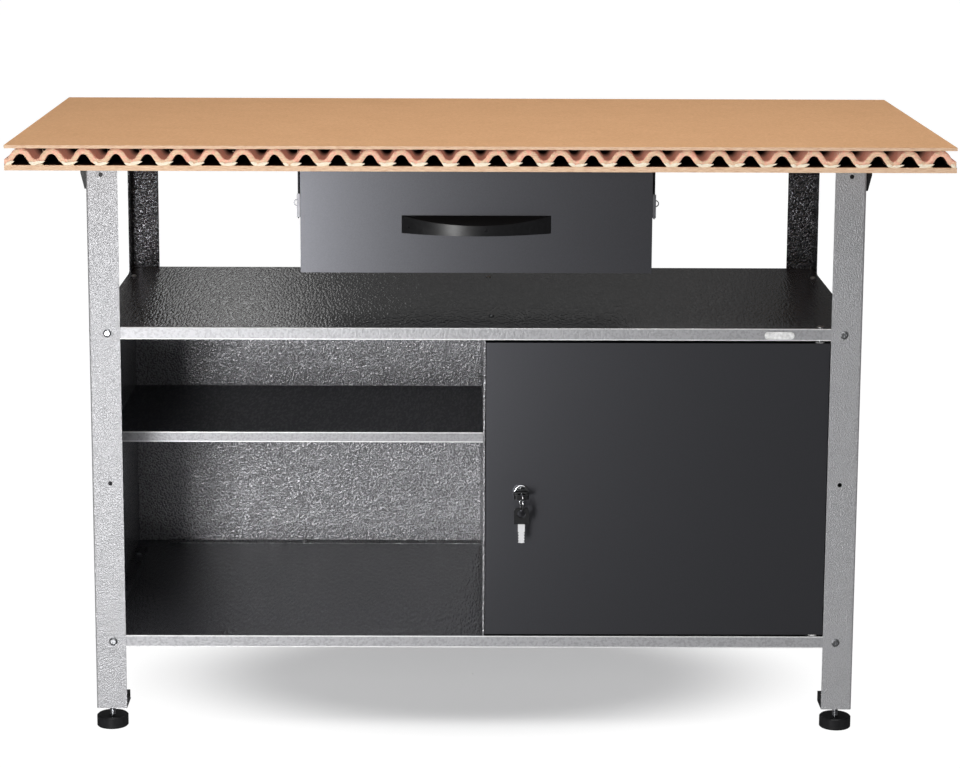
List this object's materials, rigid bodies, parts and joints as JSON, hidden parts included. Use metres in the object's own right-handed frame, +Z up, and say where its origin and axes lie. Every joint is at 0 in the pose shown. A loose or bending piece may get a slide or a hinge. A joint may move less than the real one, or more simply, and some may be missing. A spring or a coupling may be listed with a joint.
{
  "type": "workbench",
  "caption": "Workbench with a thick corrugated board on angle legs, shelves, an open bay, a lockable cupboard and a drawer.",
  "frame": {"origin": "on the floor under the board's centre, to within the 5 mm by which the board sits right of the frame", "axes": "+Z up, +X along the board to the right, -Y towards the user in front"},
  "size_m": [1.2, 0.6, 0.786],
  "materials": {
    "kraft_liner": "matt kraft board",
    "fluted_paper": "matt kraft board, darker inside the channels",
    "hammer_grey": "light grey hammertone powder coat",
    "satin_anthracite": "smooth satin anthracite powder coat",
    "zinc": "zinc plate",
    "black_plastic": "moulded black",
    "gloss_black": "moulded gloss black",
    "black_steel": "black powder coat",
    "chrome": "bright plate",
    "white_plastic": "moulded white"
  },
  "bodies": {
    "bench": {"worktop_top_liner": "kraft_liner", "worktop_bottom_liner": "kraft_liner", "worktop_flutes": "fluted_paper", "leg_front_left": "hammer_grey", "leg_front_right": "hammer_grey", "leg_rear_left": "hammer_grey", "leg_rear_right": "hammer_grey", "middle_shelf": "hammer_grey", "bottom_shelf": "hammer_grey", "inner_shelf": "hammer_grey", "left_side_panel": "hammer_grey", "right_side_panel": "hammer_grey", "back_panel": "hammer_grey", "partition": "hammer_grey", "frame_bolts": "zinc", "frame_nuts": "zinc", "panel_screws": "zinc", "worktop_screws": "zinc", "foot_nuts": "zinc", "door_pivot_pins": "zinc", "runner_outer_left": "zinc", "runner_outer_right": "zinc", "leg_cap_front_left": "black_plastic", "leg_cap_front_right": "black_plastic", "leg_cap_rear_left": "black_plastic", "leg_cap_rear_right": "black_plastic", "foot_insert_front_left": "black_plastic", "foot_insert_front_right": "black_plastic", "foot_insert_rear_left": "black_plastic", "foot_insert_rear_right": "black_plastic", "drawer_hanger_left": "black_steel", "drawer_hanger_right": "black_steel"},
    "drawer": {"drawer_front": "satin_anthracite", "drawer_tray": "zinc", "drawer_handle": "gloss_black", "handle_screws": "zinc", "runner_inner_left": "zinc", "runner_inner_right": "zinc"},
    "runner_middles": {"runner_middle_left": "zinc", "runner_middle_right": "zinc"},
    "door": {"door_panel": "satin_anthracite", "door_bushes": "white_plastic", "lock_housing": "chrome", "lock_nut": "zinc"},
    "lock": {"lock_plug": "zinc", "lock_cam": "zinc", "cam_screw": "zinc"},
    "door_key": {"key_blade": "chrome", "key_head": "black_plastic"},
    "ring": {"key_ring": "chrome"},
    "spare_key": {"spare_key_blade": "chrome", "spare_key_head": "black_plastic"},
    "foot_front_left": {"foot_pad_front_left": "black_plastic", "foot_spindle_front_left": "zinc"},
    "foot_front_right": {"foot_pad_front_right": "black_plastic", "foot_spindle_front_right": "zinc"},
    "foot_rear_left": {"foot_pad_rear_left": "black_plastic", "foot_spindle_rear_left": "zinc"},
    "foot_rear_right": {"foot_pad_rear_right": "black_plastic", "foot_spindle_rear_right": "zinc"}
  },
  "joints": [
    {"name": "drawer_slide", "type": "slide", "parent": "bench", "child": "drawer", "axis": [0, -1, 0], "range_m": [0, 0.3]},
    {"name": "runner_slide", "type": "slide", "parent": "bench", "child": "runner_middles", "axis": [0, -1, 0], "range_m": [0, 0.15]},
    {"name": "door_hinge", "type": "hinge", "parent": "bench", "child": "door", "pos_m": [0.447, -0.2352, 0.328], "axis": [0, 0, 1], "range_deg": [0, 105]},
    {"name": "lock_turn", "type": "hinge", "parent": "door", "child": "lock", "pos_m": [0.06, -0.2435, 0.3245], "axis": [0, -1, 0], "range_deg": [0, 90]},
    {"name": "key_pull", "type": "slide", "parent": "lock", "child": "door_key", "axis": [0, -1, 0], "range_m": [0, 0.03]},
    {"name": "ring_swing", "type": "hinge", "parent": "door_key", "child": "ring", "pos_m": [0.06, -0.27, 0.32755], "axis": [0, 1, 0], "range_deg": [-10, 10]},
    {"name": "spare_key_swing", "type": "hinge", "parent": "ring", "child": "spare_key", "pos_m": [0.06, -0.27, 0.30795], "axis": [0, 1, 0], "range_deg": [-30, 30]},
    {"name": "foot_lift_front_left", "type": "slide", "parent": "bench", "child": "foot_front_left", "axis": [0, 0, 1], "range_m": [-0.01, 0.012]},
    {"name": "foot_lift_front_right", "type": "slide", "parent": "bench", "child": "foot_front_right", "axis": [0, 0, 1], "range_m": [-0.01, 0.012]},
    {"name": "foot_lift_rear_left", "type": "slide", "parent": "bench", "child": "foot_rear_left", "axis": [0, 0, 1], "range_m": [-0.01, 0.012]},
    {"name": "foot_lift_rear_right", "type": "slide", "parent": "bench", "child": "foot_rear_right", "axis": [0, 0, 1], "range_m": [-0.01, 0.012]}
  ],
  "couplings": [
    {"joint": "runner_slide", "follows": "drawer_slide", "ratio": 0.5}
  ]
}
